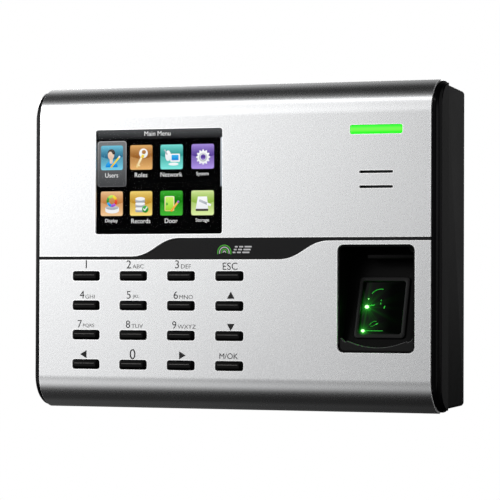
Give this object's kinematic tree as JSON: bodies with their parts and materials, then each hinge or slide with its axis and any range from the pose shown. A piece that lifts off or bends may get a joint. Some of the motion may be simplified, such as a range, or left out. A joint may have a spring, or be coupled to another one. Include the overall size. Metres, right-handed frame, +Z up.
{
  "type": "fingerprint scanner terminal",
  "caption": "Wall-hung fingerprint terminal: black case with two silver face panels, colour display, keypad, finger scanner with sloping glass, light bar and a steel wall bracket.",
  "frame": {"origin": "middle of the wall bracket, on the face that lies against the wall", "axes": "+X to the right across the face as a user sees it, +Y from the face into the wall, +Z up"},
  "size_m": [0.1804, 0.0355, 0.1336],
  "materials": {
    "blasted_metal": "fine bead-blasted satin silver sheet",
    "dark_strip": "dark grey moulded strip, low gloss",
    "gloss_black": "glossy black moulded rim, matte side faces",
    "matte_black": "fine spark-eroded black plastic",
    "key_black": "polished black key cap",
    "clear_lens": "clear acrylic window",
    "foam": "closed-cell foam",
    "display": "colour display showing a menu of icons",
    "ribbon": "amber flat cable",
    "silicone": "grey silicone rubber",
    "circuit": "green circuit board laminate",
    "indicator": "lit green light bar",
    "speaker": "loudspeaker",
    "optical_glass": "polished optical glass",
    "emitter": "lit green light emitting diode",
    "tinned": "tinned steel shell",
    "connector": "black connector plastic",
    "wiring": "green terminal block plastic",
    "steel": "zinc-plated pressed steel",
    "screw_steel": "zinc-plated steel",
    "nylon": "natural nylon"
  },
  "bodies": {
    "bracket": {"wall_bracket": "steel"},
    "terminal": {"back_shell": "matte_black", "front_housing": "gloss_black", "upper_face_panel": "blasted_metal", "lower_face_panel": "blasted_metal", "accent_strip": "dark_strip", "display_window": "clear_lens", "display_gasket": "foam", "lcd_module": "display", "display_ribbon": "ribbon", "keypad_mat": "silicone", "keypad_board": "circuit", "main_board": "circuit", "indicator_light_guide": "indicator", "indicator_board": "circuit", "speaker": "speaker", "finger_bezel": "matte_black", "platen_prism": "optical_glass", "sensor_case": "connector", "sensor_board": "circuit", "sensor_lens": "connector", "sensor_led_lower": "emitter", "sensor_led_upper": "emitter", "ethernet_jack": "tinned", "power_jack": "connector", "terminal_block": "wiring", "usb_port": "tinned", "tamper_switch": "connector", "reset_switch": "connector", "battery_holder": "connector", "clock_battery": "tinned", "security_screw": "screw_steel", "case_screw_1": "screw_steel", "board_screw_1": "screw_steel", "case_screw_2": "screw_steel", "board_screw_2": "screw_steel", "case_screw_3": "screw_steel", "board_screw_3": "screw_steel", "case_screw_4": "screw_steel", "board_screw_4": "screw_steel"},
    "key_1_body": {"key_1": "key_black"},
    "key_2_body": {"key_2": "key_black"},
    "key_3_body": {"key_3": "key_black"},
    "key_esc_body": {"key_esc": "key_black"},
    "key_4_body": {"key_4": "key_black"},
    "key_5_body": {"key_5": "key_black"},
    "key_6_body": {"key_6": "key_black"},
    "key_up_body": {"key_up": "key_black"},
    "key_7_body": {"key_7": "key_black"},
    "key_8_body": {"key_8": "key_black"},
    "key_9_body": {"key_9": "key_black"},
    "key_down_body": {"key_down": "key_black"},
    "key_left_body": {"key_left": "key_black"},
    "key_0_body": {"key_0": "key_black"},
    "key_right_body": {"key_right": "key_black"},
    "key_ok_body": {"key_ok": "key_black"},
    "tamper_pin": {"tamper_plunger": "nylon"},
    "reset_pin": {"reset_button": "nylon"}
  },
  "joints": [
    {"name": "terminal_lift", "type": "slide", "parent": "bracket", "child": "terminal", "axis": [0, 0, 1], "range_m": [0, 0.008]},
    {"name": "key_1_press", "type": "slide", "parent": "terminal", "child": "key_1_body", "axis": [0, 1, 0], "range_m": [0, 0.0008], "stiffness_N_per_m": 300},
    {"name": "key_2_press", "type": "slide", "parent": "terminal", "child": "key_2_body", "axis": [0, 1, 0], "range_m": [0, 0.0008], "stiffness_N_per_m": 300},
    {"name": "key_3_press", "type": "slide", "parent": "terminal", "child": "key_3_body", "axis": [0, 1, 0], "range_m": [0, 0.0008], "stiffness_N_per_m": 300},
    {"name": "key_esc_press", "type": "slide", "parent": "terminal", "child": "key_esc_body", "axis": [0, 1, 0], "range_m": [0, 0.0008], "stiffness_N_per_m": 300},
    {"name": "key_4_press", "type": "slide", "parent": "terminal", "child": "key_4_body", "axis": [0, 1, 0], "range_m": [0, 0.0008], "stiffness_N_per_m": 300},
    {"name": "key_5_press", "type": "slide", "parent": "terminal", "child": "key_5_body", "axis": [0, 1, 0], "range_m": [0, 0.0008], "stiffness_N_per_m": 300},
    {"name": "key_6_press", "type": "slide", "parent": "terminal", "child": "key_6_body", "axis": [0, 1, 0], "range_m": [0, 0.0008], "stiffness_N_per_m": 300},
    {"name": "key_up_press", "type": "slide", "parent": "terminal", "child": "key_up_body", "axis": [0, 1, 0], "range_m": [0, 0.0008], "stiffness_N_per_m": 300},
    {"name": "key_7_press", "type": "slide", "parent": "terminal", "child": "key_7_body", "axis": [0, 1, 0], "range_m": [0, 0.0008], "stiffness_N_per_m": 300},
    {"name": "key_8_press", "type": "slide", "parent": "terminal", "child": "key_8_body", "axis": [0, 1, 0], "range_m": [0, 0.0008], "stiffness_N_per_m": 300},
    {"name": "key_9_press", "type": "slide", "parent": "terminal", "child": "key_9_body", "axis": [0, 1, 0], "range_m": [0, 0.0008], "stiffness_N_per_m": 300},
    {"name": "key_down_press", "type": "slide", "parent": "terminal", "child": "key_down_body", "axis": [0, 1, 0], "range_m": [0, 0.0008], "stiffness_N_per_m": 300},
    {"name": "key_left_press", "type": "slide", "parent": "terminal", "child": "key_left_body", "axis": [0, 1, 0], "range_m": [0, 0.0008], "stiffness_N_per_m": 300},
    {"name": "key_0_press", "type": "slide", "parent": "terminal", "child": "key_0_body", "axis": [0, 1, 0], "range_m": [0, 0.0008], "stiffness_N_per_m": 300},
    {"name": "key_right_press", "type": "slide", "parent": "terminal", "child": "key_right_body", "axis": [0, 1, 0], "range_m": [0, 0.0008], "stiffness_N_per_m": 300},
    {"name": "key_ok_press", "type": "slide", "parent": "terminal", "child": "key_ok_body", "axis": [0, 1, 0], "range_m": [0, 0.0008], "stiffness_N_per_m": 300},
    {"name": "tamper_press", "type": "slide", "parent": "terminal", "child": "tamper_pin", "axis": [0, -1, 0], "range_m": [0, 0.0006], "stiffness_N_per_m": 200, "springref_m": -0.002},
    {"name": "reset_press", "type": "slide", "parent": "terminal", "child": "reset_pin", "axis": [0, 0, 1], "range_m": [0, 0.0003], "stiffness_N_per_m": 400}
  ]
}
